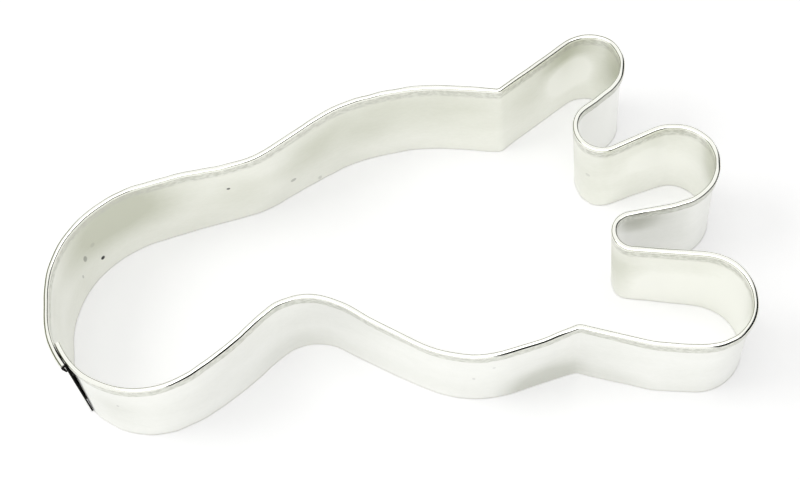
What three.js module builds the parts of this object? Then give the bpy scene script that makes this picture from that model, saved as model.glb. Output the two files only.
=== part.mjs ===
// Tinplate cookie cutter with the outline of a three-toed foot.
// A hemmed strip is bent round a ring of forming pins and closed by a spot-welded lap behind the heel.
// Millimetres, +Z up. The cutting edge lies on z = 0, the heel points to -X and the toes to +X.

import * as THREE from 'three';

// Overall sizes, over the hem
const footLength = 137.75; // back of the lap to the tip of the little toe
const footWidth = 72.6; // side of the little toe to the side of the big toe

// Strip section
const stripDepth = 25.4; // cutting edge to the top of the hem
const sheetThickness = 0.3;
const hemBendRadius = 0.25; // inside of the fold
const hemHeight = 2.8; // top of the fold to the raw edge
const hemMouth = 0.3; // between the raw edge and the wall

// Heel. All radii of the outline are to the middle of the wall.
const heelRadius = 17.2;
const heelBackRadius = 22.2;
const heelBackShift = 4; // of its centre from the heel's, forwards and to the far side alike

// Waist, each side set back from the middle between the heel and the ball
const archRadius = 11.2;
const archSetback = 2;
const archDrop = 13.5; // of its centre, to the near side of the heel's
const waistRadius = 17.6;
const waistSetback = 4.5;
const waistRise = 7; // of its centre, past the big toe's

// Ball, set back from the tips of the toes
const ballRadius = 22.6;
const ballSetback = 42;
const ballRise = 2.5; // of its centre, to the far side of the heel's
const crestRadius = 26.8;
const crestSetback = 49.5;
const crestDrop = 26.5; // of its centre, to the near side of the big toe's
const shoulderRadius = 22.2;
const shoulderSetback = 58;
const shoulderDrop = 22.5; // of its centre, to the near side of the big toe's

// Little toe
const littleToeRadius = 9.4;
const littleToeDrop = 15.5; // of its centre, to the near side of the heel's
const littleSideRadius = 11;
const littleSideSetback = 6.5;
const littleSideRise = 3; // of its centre, to the far side of the little toe's
const littleRootRadius = 1.6;
const littleRootSetback = 24.5;
const littleRootDrop = 3; // of its centre, to the near side of the little toe's

// Middle toe, shifted to the far side from the middle between the other two
const middleToeRadius = 8.4;
const middleToeShift = 2.25;

// Big toe
const bigToeRadius = 6.8;
const bigToeSetback = 13;
const bigRootRadius = 2;
const bigRootSetback = 32;
const bigRootDrop = 1; // of its centre, to the near side of the big toe's

// Webs, each shifted to the far side from the middle between its toes
const littleWebRadius = 4.2;
const littleWebSetback = 10.5;
const littleWebShift = 1.75;
const bigWebRadius = 5.8;
const bigWebSetback = 12.5;
const bigWebShift = -1.5;

// Bends
const pinGrip = 0.96; // nearest two pins come, as a share of the spacing that still has a tangent
const bendClearance = 0.2; // least gap between a hem and the pin it is bent round

// Lap behind the heel, where the two ends of the strip pass each other
const lapLength = 6.5;
const lapBearing = 206; // degrees round the heel pin, from +X
const lapClearance = 0.15; // between the two hems, side by side

// Spot welds that hold the lap
const weldDiameter = 3;
const weldEdge = 0.1; // rounded rim of a weld
const weldSeat = 0.15; // clearance between a weld and each sheet
const lowestWeld = 5; // height of its centre
const weldPitch = 6.5;
const weldNames = ['spot_weld_lower', 'spot_weld_middle', 'spot_weld_upper'];

// Facets
const chordError = 0.03;
const foldSteps = 6;
const weldSides = 20;

// Sizes worked out from the ones above
const hemThickness = 2 * (hemBendRadius + sheetThickness);
const hemReach = hemThickness - sheetThickness / 2; // outermost face of the hem from the wall's middle
const lapOffset = hemThickness + lapClearance; // outer end of the strip from its inner end
const lapGap = lapOffset - sheetThickness; // between the two walls in the lap
const weldThickness = lapGap - 2 * weldSeat;
const lapMiddle = THREE.MathUtils.degToRad(lapBearing);

// Lines along and across the foot, from the heel's centre
const toeLine = footLength - (heelRadius + lapOffset + hemReach) - (littleToeRadius + hemReach);
const ballLine = toeLine - ballSetback;
const shoulderLine = toeLine - shoulderSetback;
const littleToeLine = -littleToeDrop;
const bigToeLine = littleToeLine + footWidth - littleToeRadius - bigToeRadius - 2 * hemReach;
const middleToeLine = (littleToeLine + bigToeLine) / 2 + middleToeShift;
const littleWebLine = (littleToeLine + middleToeLine) / 2 + littleWebShift;
const bigWebLine = (middleToeLine + bigToeLine) / 2 + bigWebShift;

// Forming pins, in the order the strip passes them from its inner end.
// A pin inside the foot bends the strip round it to the left, and one outside bends it back.
const inside = 1;
const outside = -1;
const pin = (x, y, radius, side) => ({ x, y, radius, side });
const pins = [
  pin(0, 0, heelRadius, inside),
  pin(ballLine / 2 - archSetback, -archDrop, archRadius, outside),
  pin(ballLine, ballRise, ballRadius, inside),
  pin(toeLine - littleRootSetback, littleToeLine - littleRootDrop, littleRootRadius, outside),
  pin(toeLine - littleSideSetback, littleToeLine + littleSideRise, littleSideRadius, inside),
  pin(toeLine, littleToeLine, littleToeRadius, inside),
  pin(toeLine - littleWebSetback, littleWebLine, littleWebRadius, outside),
  pin(toeLine, middleToeLine, middleToeRadius, inside),
  pin(toeLine - bigWebSetback, bigWebLine, bigWebRadius, outside),
  pin(toeLine - bigToeSetback, bigToeLine, bigToeRadius, inside),
  pin(toeLine - bigRootSetback, bigToeLine - bigRootDrop, bigRootRadius, outside),
  pin(toeLine - crestSetback, bigToeLine - crestDrop, crestRadius, inside),
  pin(shoulderLine, bigToeLine - shoulderDrop, shoulderRadius, inside),
  pin(shoulderLine / 2 - waistSetback, bigToeLine + waistRise, waistRadius, outside),
  pin(heelBackShift, heelBackShift, heelBackRadius, inside),
];

// Radii that leave a tangent between neighbours, and room for the hem inside the outward bends.
// The ring ends on the heel again, wider by the lap.
function settledRing() {
  const ring = pins.map(({ x, y, radius, side }) => (
    pin(x, y, side === outside ? Math.max(radius, hemReach + bendClearance) : radius, side)
  ));
  const settle = (a, b) => {
    const room = pinGrip * Math.hypot(b.x - a.x, b.y - a.y);
    if (a.side === b.side) {
      a.radius = Math.min(a.radius, b.radius + room);
      b.radius = Math.min(b.radius, a.radius + room);
    } else {
      const share = Math.min(1, room / (a.radius + b.radius));
      a.radius *= share;
      b.radius *= share;
    }
  };
  for (let i = 0; i < ring.length - 1; i += 1) settle(ring[i], ring[i + 1]);
  const heel = ring[0];
  const heelBack = ring[ring.length - 1];
  const lapEnd = pin(heel.x, heel.y, heel.radius + lapOffset, inside);
  const room = pinGrip * Math.hypot(heelBack.x - lapEnd.x, heelBack.y - lapEnd.y);
  heelBack.radius = THREE.MathUtils.clamp(heelBack.radius, lapEnd.radius - room, lapEnd.radius + room);
  ring.push(lapEnd);
  return ring;
}

// Bearing of the strip's outward normal on the straight run from one pin to the next
function runNormal(a, b) {
  const heading = Math.atan2(b.y - a.y, b.x - a.x);
  const lean = (a.side * a.radius - b.side * b.radius) / Math.hypot(b.x - a.x, b.y - a.y);
  return heading - Math.acos(lean);
}

// Stations along the middle of the wall: a point and the bearing of its outward normal
function stripPath(ring) {
  const halfLap = lapLength / 2 / (ring[0].radius + lapOffset / 2);
  const stations = [];
  ring.forEach((bend, i) => {
    const from = i === 0 ? lapMiddle - halfLap : runNormal(ring[i - 1], bend);
    const to = i === ring.length - 1 ? lapMiddle + halfLap : runNormal(bend, ring[i + 1]);
    const slack = 1.2; // radians by which a bend may come out negative before it counts as a full turn
    const sweep = THREE.MathUtils.euclideanModulo((to - from) * bend.side + slack, 2 * Math.PI) - slack;
    const facet = 2 * Math.acos(1 - chordError / (bend.radius + bend.side * hemReach));
    const steps = Math.max(1, Math.ceil(sweep / facet));
    for (let k = 0; k <= steps; k += 1) {
      const normal = from + bend.side * Math.max(0, sweep) * (k / steps);
      const x = bend.x + bend.side * bend.radius * Math.cos(normal);
      const y = bend.y + bend.side * bend.radius * Math.sin(normal);
      stations.push({ x, y, normal });
    }
  });
  return stations;
}

// Closed section of the strip: x is outwards from the wall's middle, y is up
function hemmedSection() {
  const half = sheetThickness / 2;
  const foldX = half + hemBendRadius;
  const foldY = stripDepth - hemThickness / 2;
  const rawX = half + hemMouth;
  const rawY = stripDepth - hemHeight;
  const arc = (radius, fromDegrees, toDegrees) => Array.from({ length: foldSteps + 1 }, (_, k) => {
    const angle = THREE.MathUtils.degToRad(fromDegrees + (toDegrees - fromDegrees) * (k / foldSteps));
    return new THREE.Vector2(foldX + radius * Math.cos(angle), foldY + radius * Math.sin(angle));
  });
  return [
    new THREE.Vector2(-half, 0),
    new THREE.Vector2(half, 0),
    ...arc(hemBendRadius, 180, 0),
    new THREE.Vector2(rawX, rawY),
    new THREE.Vector2(rawX + sheetThickness, rawY),
    ...arc(hemBendRadius + sheetThickness, 0, 180),
  ];
}

// One closed body: the section carried along the stations, with a cap on each end
function sweptStrip(section, stations) {
  const count = section.length;
  const positions = stations.flatMap(({ x, y, normal }) => section.flatMap((point) => [
    x + point.x * Math.cos(normal),
    y + point.x * Math.sin(normal),
    point.y,
  ]));
  const index = [];
  for (let i = 0; i < stations.length - 1; i += 1) {
    for (let k = 0; k < count; k += 1) {
      const near = i * count + k;
      const nearNext = i * count + ((k + 1) % count);
      index.push(near, near + count, nearNext + count);
      index.push(near, nearNext + count, nearNext);
    }
  }
  const last = (stations.length - 1) * count;
  for (const [a, b, c] of THREE.ShapeUtils.triangulateShape(section, [])) {
    index.push(a, b, c);
    index.push(last + a, last + c, last + b);
  }
  const geometry = new THREE.BufferGeometry();
  geometry.setAttribute('position', new THREE.Float32BufferAttribute(positions, 3));
  geometry.setIndex(index);
  geometry.computeVertexNormals();
  return geometry;
}

// Flat button of fused metal, its axis along +Y
function weldButton() {
  const radius = weldDiameter / 2;
  const profile = [
    new THREE.Vector2(0, 0),
    new THREE.Vector2(radius - weldEdge, 0),
    new THREE.Vector2(radius, weldEdge),
    new THREE.Vector2(radius, weldThickness - weldEdge),
    new THREE.Vector2(radius - weldEdge, weldThickness),
    new THREE.Vector2(0, weldThickness),
  ];
  return new THREE.LatheGeometry(profile, weldSides);
}

// Assembly
const tinplate = new THREE.MeshStandardMaterial({ color: 0xd8dad0, roughness: 0.28, metalness: 0.9 });
const weldMetal = new THREE.MeshStandardMaterial({ color: 0x4a4a46, roughness: 0.6, metalness: 0.7 });
const cutter = new THREE.Group();
const ring = settledRing();

const strip = new THREE.Mesh(sweptStrip(hemmedSection(), stripPath(ring)), tinplate);
strip.name = 'cutter_strip';
cutter.add(strip);

const weldFoot = ring[0].radius + sheetThickness / 2 + weldSeat;
weldNames.forEach((name, i) => {
  const weld = new THREE.Mesh(weldButton(), weldMetal);
  weld.name = name;
  weld.rotation.z = lapMiddle - Math.PI / 2;
  weld.position.x = ring[0].x + weldFoot * Math.cos(lapMiddle);
  weld.position.y = ring[0].y + weldFoot * Math.sin(lapMiddle);
  weld.position.z = lowestWeld + i * weldPitch;
  cutter.add(weld);
});

// The origin lies under the middle of the outline
const middle = new THREE.Box3().setFromObject(strip).getCenter(new THREE.Vector3());
cutter.position.set(-middle.x, -middle.y, 0);
const part = new THREE.Group();
part.add(cutter);

export default part;
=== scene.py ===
# Tinplate cookie cutter, a foot with three toes: bent strip, welds, table, light and camera

import math

import bmesh
import bpy
from mathutils import Matrix, Vector, noise


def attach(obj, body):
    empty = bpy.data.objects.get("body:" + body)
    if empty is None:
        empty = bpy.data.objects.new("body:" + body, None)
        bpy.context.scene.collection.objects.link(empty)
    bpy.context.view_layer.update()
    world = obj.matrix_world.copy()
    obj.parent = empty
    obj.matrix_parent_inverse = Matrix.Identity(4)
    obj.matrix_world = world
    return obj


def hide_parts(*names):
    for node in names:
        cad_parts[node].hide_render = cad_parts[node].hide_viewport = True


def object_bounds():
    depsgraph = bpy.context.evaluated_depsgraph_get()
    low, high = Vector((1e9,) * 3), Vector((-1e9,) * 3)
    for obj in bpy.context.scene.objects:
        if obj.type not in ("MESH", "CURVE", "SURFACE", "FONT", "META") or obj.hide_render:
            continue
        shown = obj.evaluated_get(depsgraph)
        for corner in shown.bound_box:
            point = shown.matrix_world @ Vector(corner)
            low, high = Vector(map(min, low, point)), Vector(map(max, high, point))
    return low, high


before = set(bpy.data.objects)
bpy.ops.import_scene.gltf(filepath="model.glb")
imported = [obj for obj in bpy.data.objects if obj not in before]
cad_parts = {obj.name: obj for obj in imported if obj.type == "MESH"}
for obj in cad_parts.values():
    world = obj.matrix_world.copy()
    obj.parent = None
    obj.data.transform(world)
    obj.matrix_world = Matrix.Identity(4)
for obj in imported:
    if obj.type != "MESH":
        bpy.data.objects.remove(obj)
cadLow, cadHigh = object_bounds()
millimetre = 0.001
noiseReach = 2  # brings smooth noise, about a half either way, to about 1
white = (1, 1, 1, 1)
print("frame loaded:", len(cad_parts), "nodes")

# Tin sheet, bent round a ring of pins: millimetres, with the heel pin at 0, 0
strip = {
    "depth": 25.4,  # cutting edge to the top of the hem
    "sheet": 0.3,
    "hemWidth": 1.1,
    "innerFold": 0.3,  # outside radius of the fold where it leaves the wall
    "innerTurn": 70,  # degrees of the fold at that radius; the rest is rounder
    "hemHeight": 2.8,
    "hemMouth": 0.3,  # between the hem's raw edge and the wall
    "lapLength": 5.3,
    "lapBearing": 205,  # degrees round the heel pin
    "lapStep": 1.25,  # outer end of the strip from its inner end
    "pins": [  # x, y, radius, and 1 inside the foot or -1 outside
        (0, 0, 17.2, 1),  # heel
        (31, -13.5, 11.2, -1),  # near arch
        (66, 2.5, 22.6, 1),  # near ball
        (83.5, -19.5, 2.6, -1),  # little toe root
        (101.5, -12.5, 11, 1),  # little toe side
        (108, -15.5, 9.4, 1),  # little toe tip
        (97.5, 1, 4.2, -1),  # little toe web
        (108, 14, 8.4, 1),  # middle toe tip
        (95.5, 25, 5.8, -1),  # big toe web
        (95, 39, 6.8, 1),  # big toe tip
        (76, 38, 2, -1),  # big toe root
        (58.5, 12.5, 26.8, 1),  # far ball crest
        (50, 16.5, 22.2, 1),  # far ball shoulder
        (20.5, 46, 17.6, -1),  # far waist
        (4, 4, 22.2, 1),  # back of the heel
    ],
    "backTurn": 0.4,  # radians: a bend that comes out up to this much backwards is left out
    "step": 1.4,  # longest facet along the strip
    "turn": 5,  # widest facet round a pin, degrees
    "foldSteps": (6, 10),  # in the tight and in the round part of the fold
    "wallSteps": 10,
    "legSteps": 3,
    "sharpAngle": 35,  # degrees
    "waveHeight": 0.07,
    "waveLength": 26,
    "waveUpright": 1.6,  # times as long up the wall
    "waveStart": 3.7,  # where in the noise
    "leans": [  # place along, and how far the cutting edge springs outwards from the pins' line
        (5.5, 0), (8.5, 0.65), (12, 0.68), (18, 0.35), (22.5, 0), (27, -0.4), (31, -0.25),
        (36, 0.15), (40, 0.28), (44, 0.25), (48, 0), (52, 0.05), (56, 0.15), (60, 0.28),
        (66, 0.4), (76, 0.23), (80, 0), (84.5, -0.28), (90, -0.37), (98, -0.42), (104, -0.3),
        (108, -0.22), (112, -0.13), (117, 0.18), (122, 0.13), (126, 0), (165, 0), (172, 0.4),
        (180, 0.7), (184, 0.8), (188, 1.1), (192, 0.5), (196, 0), (228, 0), (233, -0.5), (239, 0),
        (246, 0.4), (249, 0.8), (252, 1.1), (256, 0.8), (263, 0), (302, 0), (308, -0.4),
        (313, -0.25), (320, -0.32), (326, 0), (331, 0.1), (337, -0.08), (342, 0.05), (345, 0.4),
        (350, 0.78), (354, 0.98), (358, 1), (362, 0.78), (366, 0.62), (373, 0.5), (378, 0.25),
        (383, 0), (388, -0.15), (394, -0.05), (399, 0.17), (404, 0.28), (412, 0.45), (418, 0.3),
        (423, 0),
    ],
    "rimBows": [  # place along, and how far the rim bows outwards from the pins' line
        (8, 0), (13, -0.2), (28, -0.2), (32, 0), (36, 0.25), (39, 0.34), (42, 0.28), (45, 0),
        (48, -0.22), (51, -0.25), (55, 0), (62, 0), (67, -0.36), (73, 0), (90, 0), (95, 0.2),
        (101, 0.1), (108, 0.35), (112, 0.1), (115, 0), (128, 0), (131.5, -0.15), (136, 0),
        (141, -0.15), (144, 0), (147, 0.3), (151, 0.42), (155, 0.3), (160, 0.22), (168, 0),
        (203, 0), (206, -0.35), (210, -0.45), (214, -0.28), (217, -0.1), (219, 0.1), (223, 0.28),
        (227, 0.15), (231, 0), (262, 0), (265, -0.25), (268, -0.4), (271, -0.28), (275, 0),
        (279, 0.35), (283, 0), (296, 0), (301, 0.12), (310, 0.18), (317, 0.18), (321, 0.05),
        (325, 0.2), (329, 0.38), (333, 0.2), (337, 0), (342, 0), (345.5, 0.1), (350, 0), (356, 0),
        (361, -0.18), (366, -0.32), (370, 0), (374, 0.3), (378, 0.15), (383, 0), (388, -0.1),
        (391, -0.28), (396, -0.18), (402, 0),
    ],
    "pressed": [  # place along, and how far the round fold is pressed flat
        (0, 1), (7, 1), (12, 0.4), (24, 0.4), (30, 0), (40, 0), (48, 0.8), (90, 0.8), (97, 0),
        (108, 0), (115, 1), (130, 0.6), (138, 0), (156, 0), (163, 1), (205, 1), (212, 0.7),
        (222, 0.6), (230, 1), (266, 1), (276, 0.2), (298, 0.2), (303, 0), (310, 0.6), (392, 0.6),
        (402, 0.2), (440, 0.2),
    ],
    "pressDents": 0.35,  # and how much that changes from place to place
    "dentLength": 3.5,
    "dentStart": (0.5, 8.1),  # where in the noise
    "tipFlare": 0.62,  # the inner end's wall turns out to the outer end's, in the last of the lap
    "tipLength": 2.2,
    "tipTop": (20.5, 24),  # all flared, and straight
    "mouthClose": 4,  # the hem's mouth closes towards both ends
    "lapBulge": (0.3, 0.85),  # the inner wall swells to the outer end's edge, at its top and foot
    "bulgeLength": 4,
    # olive tarnish, with painted shade where the walls mirror the floor's shadows, and painted
    # highlights where strength is below 0
    "stainsAndShade": [  # 0 inside or 1 outside, place along and over, reach along and over, strength
        (0, 390, 18, 21, 14, 1.15),  # heel
        (0, 398, 8, 12, 10, 0.02),
        (0, 372, 8, 20, 12, 0.05),
        (0, 363, 12, 8, 12, 0.2),  # far waist
        (0, 344, 19, 10, 7, 0.25),  # far ball
        (0, 340, 11, 16, 7, 0.15),
        (0, 348, 13, 10, 8, 0.3),
        (0, 324, 17, 34, 13, 0.48),
        (0, 188, 12, 11, 16, 0.75),  # webs of the toes
        (0, 250, 12, 10, 16, 0.15),
        (0, 297, 12, 8, 14, 0.2),  # big toe
        (0, 288, 21, 9, 6, 0.7),
        (0, 287, 13, 8, 9, -0.9),
        (0, 278, 15, 6, 16, 0.6),
        (0, 273, 19, 5, 12, 0.6),
        (0, 236, 15, 6, 6, -0.4),  # middle toe
        (0, 219, 19, 8, 10, 0.25),
        (0, 228, 10, 10, 10, -0.2),
        (0, 176, 8, 20, 12, -0.5),  # little toe
        (0, 158, 12, 14, 14, -0.5),
        (1, 196, 20, 7, 6, 0.9),  # little toe web
        (1, 190, 13, 9, 14, -0.5),
        (1, 264, 12, 12, 18, -0.6),  # big toe's side
        (1, 56, 3, 20, 8, 0.25),  # near arch
        (1, 108, 2, 12, 11, 1.25),  # little toe root
        (1, 122, 3, 12, 6, 0.3),
        (1, 36, 4, 14, 8, -0.1),  # near heel
        (1, 12, 12, 9, 14, 0.3),
        (1, 149, 8, 8, 12, -0.2),  # little toe tip
    ],
    "lapShadeFade": 0.15,  # painted lap shade fades over this at the end of the lap
    "lapShadeRange": (-4, 2),
    "shadedFoldShare": 0.2,  # share of the fold painted dark as shade in the groove where the two ends meet
    "endShade": (0.35, 0.9),  # painted shade on the outside of the outer end, by its edge: its wall and its hem
    "endShadeHem": 4.2,  # height of that hem, from the top
}


def within(low, value, high):
    return max(low, min(high, value))


def runBearing(a, b):  # outward normal on the straight run from one pin to the next
    lean = (a[3] * a[2] - b[3] * b[2]) / math.hypot(b[0] - a[0], b[1] - a[1])
    return math.atan2(b[1] - a[1], b[0] - a[0]) - math.acos(lean)


def bendList():  # centre, radius, side, first bearing and angle of each bend
    heel = strip["pins"][0]
    pins = strip["pins"] + [(heel[0], heel[1], heel[2] + strip["lapStep"], 1)]
    halfLap = strip["lapLength"] / 2 / (heel[2] + strip["lapStep"] / 2)
    lapMiddle = math.radians(strip["lapBearing"])
    runs = [runBearing(a, b) for a, b in zip(pins, pins[1:])]
    bearings = [lapMiddle - halfLap] + runs + [lapMiddle + halfLap]
    backTurn = strip["backTurn"]
    bends = []
    for (x, y, radius, side), first, last in zip(pins, bearings, bearings[1:]):
        sweep = ((last - first) * side + backTurn) % math.tau - backTurn
        bends.append((Vector((x, y, 0)), radius, side, first, max(0, sweep)))
    return bends


def outward(bearing):
    return Vector((math.cos(bearing), math.sin(bearing), 0))


def newOnly(made, kind):
    return [item for item in made if isinstance(item, kind)]


def drawLine(bm, vert, vec, steps):  # a straight line of edges from a vertex, and its last vertex
    for _ in range(steps):
        vert = bmesh.ops.extrude_vert_indiv(bm, verts=[vert])["verts"][0]
        bmesh.ops.translate(bm, verts=[vert], vec=vec / steps)
    return vert


def foldFacts():  # inner turn, outer radius, height of the wall's top and length of the fold
    turn, inner = math.radians(strip["innerTurn"]), strip["innerFold"]
    outer = (strip["hemWidth"] - inner + inner * math.cos(turn)) / (1 + math.cos(turn))
    wallTop = strip["depth"] - outer + (outer - inner) * math.sin(turn)
    return turn, outer, wallTop, inner * turn + outer * (math.pi - turn)


def pressFold(bm, press, insideFace):  # how each vertex of the fold moves where it is pressed flat
    radius = strip["innerFold"]
    corner = strip["foldSteps"][0]
    folded = bm.verts[strip["wallSteps"]:]
    flat = len(folded) - 1 - 2 * corner
    for i, v in enumerate(folded):
        turn = math.pi / 2 * (min(i, corner) + max(0, i - corner - flat)) / corner
        acrossTop = (strip["hemWidth"] - 2 * radius) * within(0, (i - corner) / flat, 1)
        x = insideFace + radius * (1 - math.cos(turn)) + acrossTop
        v[press] = (x - v.co.x, 0, strip["depth"] - radius * (1 - math.sin(turn)) - v.co.z)


def hemProfile(bm, press, wallPlace):  # face of the sheet: cutting edge, wall, fold and raw edge
    turn, outer, wallTop, _ = foldFacts()
    inner = strip["innerFold"]
    insideFace = wallPlace - strip["sheet"] / 2
    rawFace = wallPlace + strip["sheet"] / 2 + strip["hemMouth"] + strip["sheet"]
    foot = bm.verts.new((insideFace, 0, 0))
    end = drawLine(bm, foot, Vector((0, 0, wallTop)), strip["wallSteps"])
    centre = Vector((insideFace + inner, 0, wallTop))
    roundCentre = centre + Vector((math.cos(turn), 0, -math.sin(turn))) * (outer - inner)
    folds = zip((centre, roundCentre), (turn, math.pi - turn), strip["foldSteps"])
    for cent, angle, steps in folds:
        made = bmesh.ops.spin(bm, geom=[end], cent=cent, axis=(0, 1, 0), angle=angle, steps=steps)
        end = newOnly(made["geom_last"], bmesh.types.BMVert)[0]
    pressFold(bm, press, insideFace)
    leg = Vector((rawFace, 0, strip["depth"] - strip["hemHeight"])) - end.co
    drawLine(bm, end, leg, strip["legSteps"])


def carryProfile(bm, place, press):  # rings round every pin: vertices, place along and bearing
    bends = bendList()
    hemProfile(bm, press, bends[0][1])
    over = 0
    for v, following in zip(bm.verts, bm.verts[1:] + [None]):
        v[place] = (0, over, 0)
        over += (following.co - v.co).length if following else 0
    bearing = bends[0][3]
    turned = Matrix.Rotation(bearing, 3, "Z")
    bmesh.ops.rotate(bm, verts=bm.verts[:], cent=(0, 0, 0), matrix=turned)
    edges, along = bm.edges[:], 0
    rings = [(bm.verts[:], along, bearing)]
    for i, (centre, radius, side, first, sweep) in enumerate(bends):
        steps = max(1, math.ceil(sweep * radius / strip["step"]),
                    math.ceil(math.degrees(sweep) / strip["turn"]))
        for k in range(steps if sweep > 0 else 0):
            made = bmesh.ops.spin(bm, geom=edges, cent=centre, axis=(0, 0, 1),
                                  angle=side * sweep / steps, steps=1)["geom_last"]
            edges = newOnly(made, bmesh.types.BMEdge)
            along += radius * sweep / steps
            bearing = first + side * sweep * (k + 1) / steps
            rings.append((newOnly(made, bmesh.types.BMVert), along, bearing))
        if i + 1 == len(bends):
            break
        nextCentre, nextRadius, nextSide, bearing, _ = bends[i + 1]
        normal = outward(bearing)
        run = nextCentre + normal * nextSide * nextRadius - centre - normal * side * radius
        steps = max(1, math.ceil(run.length / strip["step"]))
        for _ in range(steps):
            made = bmesh.ops.extrude_edge_only(bm, edges=edges)["geom"]
            verts = newOnly(made, bmesh.types.BMVert)
            edges = [edge for edge in newOnly(made, bmesh.types.BMEdge)
                     if all(v in verts for v in edge.verts)]
            bmesh.ops.translate(bm, verts=verts, vec=run / steps)
            along += run.length / steps
            rings.append((verts, along, bearing))
    return rings


def valueAt(places, along):  # from a list of places along the strip and their values
    for (start, low), (end, high) in zip(places, places[1:]):
        if start <= along < end:
            part = (along - start) / (end - start)
            return low + (high - low) * part * part * (3 - 2 * part)
    return 0


def springRings(rings, place, press):  # spring, dents and lap of a used cutter
    total = rings[-1][1]
    waveLength = strip["waveLength"]
    flareFull, flareNone = strip["tipTop"]
    bulgeTop, bulgeFoot = strip["lapBulge"]
    _, outerFold, foldStart, foldLength = foldFacts()
    for verts, along, bearing in rings:
        lean, bow = valueAt(strip["leans"], along), valueAt(strip["rimBows"], along)
        dent = noise.noise(Vector((along / strip["dentLength"], *strip["dentStart"])))
        dent *= strip["pressDents"] * noiseReach
        pressed = within(0, valueAt(strip["pressed"], along) + dent, 1)
        flare = strip["tipFlare"] * max(0, 1 - along / strip["tipLength"]) ** 2
        fromEnd = min(along, total - along)
        closing = strip["hemMouth"] * max(0, 1 - fromEnd / strip["mouthClose"])
        fromLap = (along - strip["lapLength"]) / strip["bulgeLength"]
        swell = max(0, 1 - fromLap ** 2) ** 2
        for v in verts:
            over = v[place][1]
            v[place] = (along, over, 0)
            upright = v.co.z / waveLength / strip["waveUpright"]
            ripple = noise.noise(Vector((along / waveLength, upright, strip["waveStart"])))
            below = within(0, (flareNone - over) / (flareNone - flareFull), 1)
            low = 1 - v.co.z / strip["depth"]
            bulge = swell * (bulgeTop * (1 - low) + bulgeFoot * low)
            leg = max(0, over - foldStart - foldLength) / (strip["hemHeight"] - outerFold)
            shift = ripple * strip["waveHeight"] * noiseReach + lean * low + bow * (1 - low)
            shift += (flare + bulge) * below - closing * leg
            v.co += outward(bearing) * (shift + v[press].x * pressed)
            v.co.z += v[press].z * pressed


def markSheet(bm, showing, total, place, lapShade, tarnishAndShade):  # what the tinplate reads on the sheet
    _, _, foldStart, foldLength = foldFacts()
    # painted shade: near black in the lap's gap, the groove between the folds, the hem's inside and
    # the outer end's edge
    shadedFold = foldLength * strip["shadedFoldShare"]
    hemFoot = strip["depth"] - strip["hemHeight"]
    for v in bm.verts:
        along, over, _ = v[place]
        hidden = v not in showing
        if along < total / 2:  # the inner end's outer side
            wallOrLeg = over < foldStart if hidden else over > foldStart + foldLength - shadedFold
        else:  # the outer end's inner side
            wallOrLeg = not hidden and over < foldStart + shadedFold
        inLap = wallOrLeg or hidden and over > hemFoot  # and the inside of the hem
        endShade = strip["endShade"][over > strip["depth"] - strip["endShadeHem"]]
        lapShaded = strip["lapLength"] if inLap else endShade if along > total / 2 else -1
        lapShaded -= min(along, total - along)
        lowest, highest = strip["lapShadeRange"]
        v[lapShade] = within(lowest, lapShaded / strip["lapShadeFade"], highest)
        v[place] = (along, over, float(hidden))
        # tarnish, painted shade and painted highlights, summed from the list
        stainedAndShaded = 0
        for face, x, y, reach, height, strength in strip["stainsAndShade"]:
            if face == hidden:
                away = math.hypot((along - x) / reach, (over - y) / height)
                stainedAndShaded += strength * max(0, 1 - away ** 2) ** 2
        v[tarnishAndShade] = stainedAndShaded


def makeStrip():
    bm = bmesh.new()
    place = bm.verts.layers.float_vector.new("sheetPlace")  # along, over, and 1 on the hidden face
    lapShade = bm.verts.layers.float.new("lapShade")  # painted shade, above 0 inside the lap
    tarnishAndShade = bm.verts.layers.float.new("tarnishAndShade")
    press = bm.verts.layers.float_vector.new("press")
    rings = carryProfile(bm, place, press)
    total = rings[-1][1]
    boxLow = Vector([min(v.co[i] for v in bm.verts) for i in range(3)])  # before the strip springs
    boxHigh = Vector([max(v.co[i] for v in bm.verts) for i in range(3)])
    springRings(rings, place, press)
    bm.normal_update()
    lowestFace = min(rings[0][0][0].link_faces, key=lambda face: face.calc_center_median().z)
    if lowestFace.normal.dot(outward(rings[0][2])) > 0:  # the sheet's face looks into the foot
        bmesh.ops.reverse_faces(bm, faces=bm.faces[:])
    showing = set(bm.verts)
    bmesh.ops.solidify(bm, geom=bm.faces[:], thickness=strip["sheet"])
    markSheet(bm, showing, total, place, lapShade, tarnishAndShade)
    sharp = math.radians(strip["sharpAngle"])
    for edge in bm.edges:
        edge.smooth = edge.calc_face_angle(0) < sharp
    for face in bm.faces:
        face.smooth = True
    bmesh.ops.translate(bm, verts=bm.verts[:], vec=-(boxLow + boxHigh) / 2)
    bmesh.ops.scale(bm, verts=bm.verts[:], vec=[millimetre] * 3)
    bmesh.ops.translate(bm, verts=bm.verts[:], vec=(cadLow + cadHigh) / 2)
    bm.verts.layers.float_vector.remove(press)
    boxSize = [round(side, 2) for side in boxHigh - boxLow]
    print("strip:", len(rings), "rings,", round(total, 1), "mm long, box", boxSize)
    return linkMesh("cutterStrip", bm)


def linkMesh(name, bm):
    mesh = bpy.data.meshes.new(name)
    bm.to_mesh(mesh)
    bm.free()
    piece = bpy.data.objects.new(name, mesh)
    bpy.context.collection.objects.link(piece)
    return piece


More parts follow.
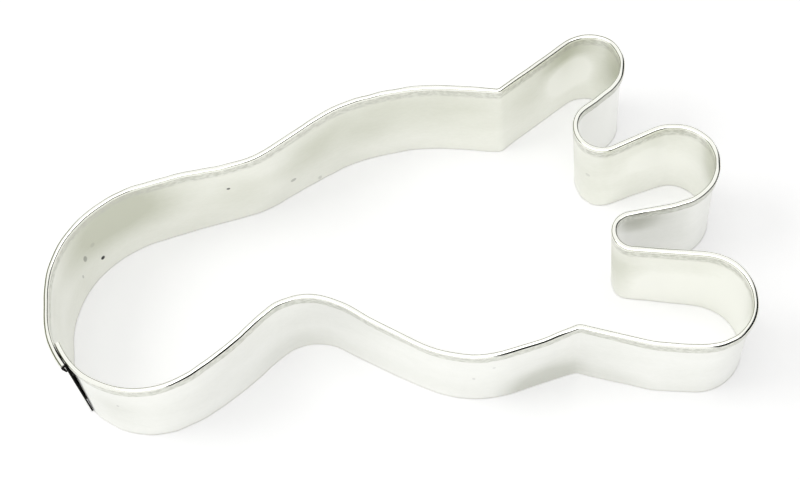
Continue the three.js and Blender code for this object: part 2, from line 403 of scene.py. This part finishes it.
# Bright rolled tin plate. Bands lie over the profile, in millimetres from the cutting edge.
tinplate = {
    # the outside faces are painted lighter and the inside faces darker, as painted light and shade
    # on one tin
    "outside": (0.945, 0.95, 0.915, 1),
    "outsideOlive": (0.68, 0.69, 0.63, 1),
    "inside": (0.92, 0.925, 0.865, 1),
    "insideOlive": (0.63, 0.645, 0.54, 1),
    "rim": (0.95, 0.955, 0.885, 1),
    "hem": (0.60, 0.605, 0.54, 1),  # darker grey under the fold on the inside face and on the turned leg
    "edge": (0.84, 0.84, 0.79, 1),  # sheared cutting edge, and painted contact shade on the wall's foot above it
    "nearBlack": (0.02, 0.02, 0.018, 1),  # near black: specks, and painted shade in the welded lap's gap and the hem's inside
    "wear": 0.2,  # olive all over, and by clouds and grain
    "cloudSize": 9,
    "cloudDepth": 0.5,
    "cloudDetail": 3,
    "grainSize": 0.7,
    "grainDepth": 0.18,
    "grainDetail": 2,
    "stretch": 0.6,  # of clouds and grain, along the sheet
    "otherFace": 7.3,  # in the noise, from the face of the sheet to its hidden face
    "hemPatches": (-0.15, 0.15, 0.35, 1),  # grain from and to, and how much of the hem's colour
    "marks": [  # specks and scuffs: 0 inside or 1 outside, place and reach along and over, strength
        (0, 395.5, 6.4, 0.5, 0.7, 1),
        (0, 365.6, 15.8, 0.4, 0.45, 0.85),
        (0, 399.2, 12.1, 0.5, 1.2, 0.45),
        (0, 396.4, 14.2, 0.6, 0.8, 0.12),
        (0, 351.6, 6.9, 0.7, 0.6, 0.4),
        (0, 345.6, 1.4, 0.5, 0.7, 0.2),
        (0, 401.5, 7.5, 0.25, 0.7, 0.3),
        (0, 248.2, 13.1, 0.6, 0.6, 0.15),
        (1, 14.2, 14.6, 0.3, 0.45, 0.2),
        (1, 93.7, 12.1, 0.35, 0.5, 0.2),
        (1, 97.8, 17.4, 0.35, 0.5, 0.15),
    ],
    "markEdge": (0.75, 1.15),  # parts of the reach
    "markFace": 50,  # keeps a mark off the other face
    "wallRoughness": (0.29, 0.37),
    "rimRoughness": 0.07,
    "edgeBand": (0.25, 0.7),
    "hemBand": (22.0, 23.2),
    "rimBand": (24.6, 25.0, 26.25, 26.5),
}


def newMaterial(name):  # and its nodes and its shader's inputs
    material = bpy.data.materials.new(name)
    material.use_nodes = True
    tree = material.node_tree
    return material, tree, tree.nodes["Principled BSDF"].inputs


def addNode(tree, kind, **values):  # a node with its settings, and its unlinked inputs by name
    node = tree.nodes.new(kind)
    for key, value in values.items():
        if hasattr(node, key):
            setattr(node, key, value)
        else:
            node.inputs[key.replace("_", " ")].default_value = value
    return node


def ramp(tree, source, low, high, start=0, end=1):  # smooth step of a value
    node = addNode(tree, "ShaderNodeMapRange", interpolation_type="SMOOTHSTEP",
                   From_Min=low, From_Max=high, To_Min=start, To_Max=end)
    tree.links.new(source, node.inputs["Value"])
    return node.outputs["Result"]


def combine(tree, operation, a, b):  # sum, product and the like of two values
    node = addNode(tree, "ShaderNodeMath", operation=operation)
    for socket, value in zip(node.inputs, (a, b)):
        if isinstance(value, (int, float)):
            socket.default_value = value
        else:
            tree.links.new(value, socket)
    return node.outputs["Value"]


def changeVector(tree, operation, source, other=(0, 0, 0)):  # product, distance and the like
    node = addNode(tree, "ShaderNodeVectorMath", operation=operation)
    node.inputs[1].default_value = other
    tree.links.new(source, node.inputs[0])
    return node.outputs["Value" if operation in ("DISTANCE", "DOT_PRODUCT") else "Vector"]


def blendColours(tree, factor, a, b):
    node = addNode(tree, "ShaderNodeMix", data_type="RGBA")
    tree.links.new(factor, node.inputs["Factor"])
    for key, value in (("A", a), ("B", b)):
        socket = next(s for s in node.inputs if s.name == key and s.type == "RGBA")
        if isinstance(value, tuple):
            socket.default_value = value
        else:
            tree.links.new(value, socket)
    return next(s for s in node.outputs if s.type == "RGBA")


def sheetNoise(tree, place, size, detail):  # clouds on the sheet, stretched along it
    scale = (tinplate["stretch"] / size, 1 / size, tinplate["otherFace"])
    clouds = addNode(tree, "ShaderNodeTexNoise", Scale=1, Detail=detail)
    tree.links.new(changeVector(tree, "MULTIPLY", place, scale), clouds.inputs["Vector"])
    return combine(tree, "SUBTRACT", clouds.outputs["Fac"], 0.5)


def wearMarks(tree, place):
    worst = 0
    for face, along, over, reach, height, strength in tinplate["marks"]:
        scale = Vector((1 / reach, 1 / height, tinplate["markFace"]))
        scaled = changeVector(tree, "MULTIPLY", place, scale)
        away = changeVector(tree, "DISTANCE", scaled, scale * Vector((along, over, face)))
        mark = ramp(tree, away, *tinplate["markEdge"], strength, 0)
        worst = combine(tree, "MAXIMUM", worst, mark)
    return worst


def makeTinplate():
    material, tree, shader = newMaterial("brightTinplate")
    shader["Specular IOR Level"].default_value = 0  # the painted lap shade has no shine
    place = addNode(tree, "ShaderNodeAttribute", attribute_name="sheetPlace").outputs["Vector"]
    parts = addNode(tree, "ShaderNodeSeparateXYZ")
    tree.links.new(place, parts.inputs["Vector"])
    over, hidden = parts.outputs["Y"], parts.outputs["Z"]
    cloud = sheetNoise(tree, place, tinplate["cloudSize"], tinplate["cloudDetail"])
    grain = sheetNoise(tree, place, tinplate["grainSize"], tinplate["grainDetail"])
    # tarnish with painted shade and painted highlights, from the strip's list
    stainAndShade = addNode(tree, "ShaderNodeAttribute", attribute_name="tarnishAndShade").outputs["Fac"]
    wornAndShaded = combine(tree, "ADD", combine(tree, "MULTIPLY", cloud, tinplate["cloudDepth"]),
                   combine(tree, "MULTIPLY", grain, tinplate["grainDepth"]))
    wornAndShaded = combine(tree, "ADD", combine(tree, "ADD", wornAndShaded, tinplate["wear"]), stainAndShade)
    outside = blendColours(tree, wornAndShaded, tinplate["outside"], tinplate["outsideOlive"])
    inside = blendColours(tree, wornAndShaded, tinplate["inside"], tinplate["insideOlive"])
    colour = blendColours(tree, hidden, inside, outside)
    riseStart, riseEnd, fallStart, fallEnd = tinplate["rimBand"]
    rim = combine(tree, "MULTIPLY", ramp(tree, over, riseStart, riseEnd),
                  ramp(tree, over, fallStart, fallEnd, 1, 0))
    turned = ramp(tree, over, *tinplate["hemBand"])
    for other in (rim, hidden):
        turned = combine(tree, "MULTIPLY", turned, combine(tree, "SUBTRACT", 1, other))
    patchy = combine(tree, "MULTIPLY", turned, ramp(tree, grain, *tinplate["hemPatches"]))
    # painted contact shade at the foot of the wall, over the sheared edge
    edge = ramp(tree, over, *tinplate["edgeBand"], 1, 0)
    # painted shade inside the lap: near black, rough and not metal
    lapShaded = addNode(tree, "ShaderNodeAttribute", attribute_name="lapShade").outputs["Fac"]
    lapShaded = ramp(tree, lapShaded, 0, 1)
    layers = ((patchy, "hem"), (rim, "rim"), (edge, "edge"),
              (wearMarks(tree, place), "nearBlack"), (lapShaded, "nearBlack"))
    for share, finish in layers:
        colour = blendColours(tree, share, colour, tinplate[finish])
    tree.links.new(colour, shader["Base Color"])
    roughness = addNode(tree, "ShaderNodeMix", B=tinplate["rimRoughness"])
    tree.links.new(rim, roughness.inputs["Factor"])
    tree.links.new(ramp(tree, wornAndShaded, 0, 1, *tinplate["wallRoughness"]), roughness.inputs["A"])
    roughness = combine(tree, "MAXIMUM", roughness.outputs["Result"], lapShaded)
    tree.links.new(roughness, shader["Roughness"])
    tree.links.new(combine(tree, "SUBTRACT", 1, lapShaded), shader["Metallic"])
    return material


# Scorched metal of the spot welds, with its grain per metre
weldMetal = {
    "dark": (0.03, 0.03, 0.028, 1),
    "light": (0.10, 0.10, 0.09, 1),
    "grain": 2500,
    "roughness": 0.6,
}


def makeWeldMetal():
    material, tree, shader = newMaterial("scorchedWeld")
    shader["Metallic"].default_value = 1
    shader["Roughness"].default_value = weldMetal["roughness"]
    grain = addNode(tree, "ShaderNodeTexNoise", Scale=weldMetal["grain"])
    place = addNode(tree, "ShaderNodeTexCoord").outputs["Object"]
    tree.links.new(place, grain.inputs["Vector"])
    tint = blendColours(tree, grain.outputs["Fac"], weldMetal["dark"], weldMetal["light"])
    tree.links.new(tint, shader["Base Color"])
    return material


tin = makeTinplate()
nearBlack = makeWeldMetal()
stripPiece = makeStrip()
stripPiece.data.materials.append(tin)
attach(stripPiece, "root")
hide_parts("cutter_strip")
for name in ("spot_weld_lower", "spot_weld_middle", "spot_weld_upper"):
    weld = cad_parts[name]
    weld.data.materials.clear()
    weld.data.materials.append(nearBlack)
print("strip and welds dressed")

# White table: its glow is seen by the camera and in the tin, fades as painted shade in narrow gaps,
# and its colour takes the shadows
table = {
    "size": 6,
    "colour": (0.8, 0.8, 0.795, 1),
    "roughness": 0.9,
    "glow": 0.49,
    "slot": 0.00025,  # metres: painted shade, the glow fades in gaps as narrow as this
    "slotSamples": 16,
}


def seenByEye(tree):  # 1 for what the camera sees, straight or in the tin
    rays = addNode(tree, "ShaderNodeLightPath").outputs
    return combine(tree, "MAXIMUM", rays["Is Camera Ray"], rays["Is Glossy Ray"])


def makeTable():
    bm = bmesh.new()
    bmesh.ops.create_grid(bm, x_segments=1, y_segments=1, size=table["size"] / 2)
    piece = linkMesh("whiteTable", bm)
    material, tree, shader = newMaterial("whiteTable")
    shader["Base Color"].default_value = table["colour"]
    shader["Roughness"].default_value = table["roughness"]
    shader["Specular IOR Level"].default_value = 0
    shader["Emission Color"].default_value = white
    gapShade = addNode(tree, "ShaderNodeAmbientOcclusion",
                  Distance=table["slot"], samples=table["slotSamples"])
    glow = combine(tree, "MULTIPLY", seenByEye(tree), gapShade.outputs["AO"])
    glow = combine(tree, "MULTIPLY", glow, table["glow"])
    tree.links.new(glow, shader["Emission Strength"])
    piece.data.materials.append(material)


makeTable()

# Soft light: a white surround with three dark sides, a broad lamp overhead and a low one on the left
light = {
    "surround": 0.38,
    "lamps": [  # name, bearing and height in degrees, metres away and across, watts, seen in the tin
        ("overheadLamp", 0, 89, 0.9, 0.6, 1.6, True),
        ("leftLamp", 168, 52, 0.9, 0.45, 1.8, False),
    ],
    "darkSides": [  # bearing, half widths in degrees and tops: all dark, and clear; colour
        (158, 26, 42, 0.6, 0.8, (0.13, 0.14, 0.08, 1)),
        (90, 60, 75, 0.42, 0.62, (0.13, 0.14, 0.08, 1)),
        (-20, 55, 66, 0.80, 0.93, (0.015, 0.015, 0.015, 1)),
    ],
}


def makeSurround():
    world = bpy.data.worlds.new("whiteSurround")
    bpy.context.scene.world = world
    world.use_nodes = True
    tree = world.node_tree
    background = tree.nodes["Background"].inputs
    strength = ramp(tree, seenByEye(tree), 0, 1, light["surround"], 1)
    tree.links.new(strength, background["Strength"])
    direction = addNode(tree, "ShaderNodeTexCoord").outputs["Generated"]
    parts = addNode(tree, "ShaderNodeSeparateXYZ")
    tree.links.new(direction, parts.inputs["Vector"])
    level = changeVector(tree, "MULTIPLY", direction, (1, 1, 0))
    level = changeVector(tree, "NORMALIZE", level)
    inTin = addNode(tree, "ShaderNodeLightPath").outputs["Is Glossy Ray"]
    colour = white
    for bearing, full, clear, fullTop, clearTop, dark in light["darkSides"]:
        aim = changeVector(tree, "DOT_PRODUCT", level, outward(math.radians(bearing)))
        fullAim, clearAim = math.cos(math.radians(full)), math.cos(math.radians(clear))
        shade = combine(tree, "MULTIPLY", ramp(tree, aim, clearAim, fullAim),
                        ramp(tree, parts.outputs["Z"], fullTop, clearTop, 1, 0))
        shade = combine(tree, "MULTIPLY", inTin, shade)
        colour = blendColours(tree, shade, colour, dark)
    tree.links.new(colour, background["Color"])


def makeLamp(name, bearing, height, distance, size, power, inTin):
    lamp = bpy.data.lights.new(name, "AREA")
    lamp.shape = "DISK"
    lamp.size = size
    lamp.energy = power
    piece = bpy.data.objects.new(name, lamp)
    piece.visible_glossy = inTin
    height = math.radians(height)
    aim = outward(math.radians(bearing)) * math.cos(height) + Vector((0, 0, math.sin(height)))
    piece.location = aim * distance
    piece.rotation_euler = aim.to_track_quat("Z", "Y").to_euler()
    bpy.context.collection.objects.link(piece)


makeSurround()
for lampFacts in light["lamps"]:
    makeLamp(*lampFacts)
print("table and light set")

# Camera at the photograph's place: metres and degrees, and millimetres for lens and sensor
camera = {
    "place": (0.002535, -0.165495, 0.367194),
    "tilt": 25.273,
    "roll": -8.222,
    "lens": 86.42,
    "sensor": 36,
    "nearest": 0.01,
}


def makeCamera():
    data = bpy.data.cameras.new("photoCamera")
    data.lens = camera["lens"]
    data.sensor_width = camera["sensor"]
    data.clip_start = camera["nearest"]
    piece = bpy.data.objects.new("photoCamera", data)
    piece.location = camera["place"]
    piece.rotation_mode = "ZYX"
    piece.rotation_euler = (math.radians(camera["tilt"]), 0, math.radians(camera["roll"]))
    bpy.context.collection.objects.link(piece)
    bpy.context.scene.camera = piece


makeCamera()
bpy.context.scene.view_settings.view_transform = "Standard"
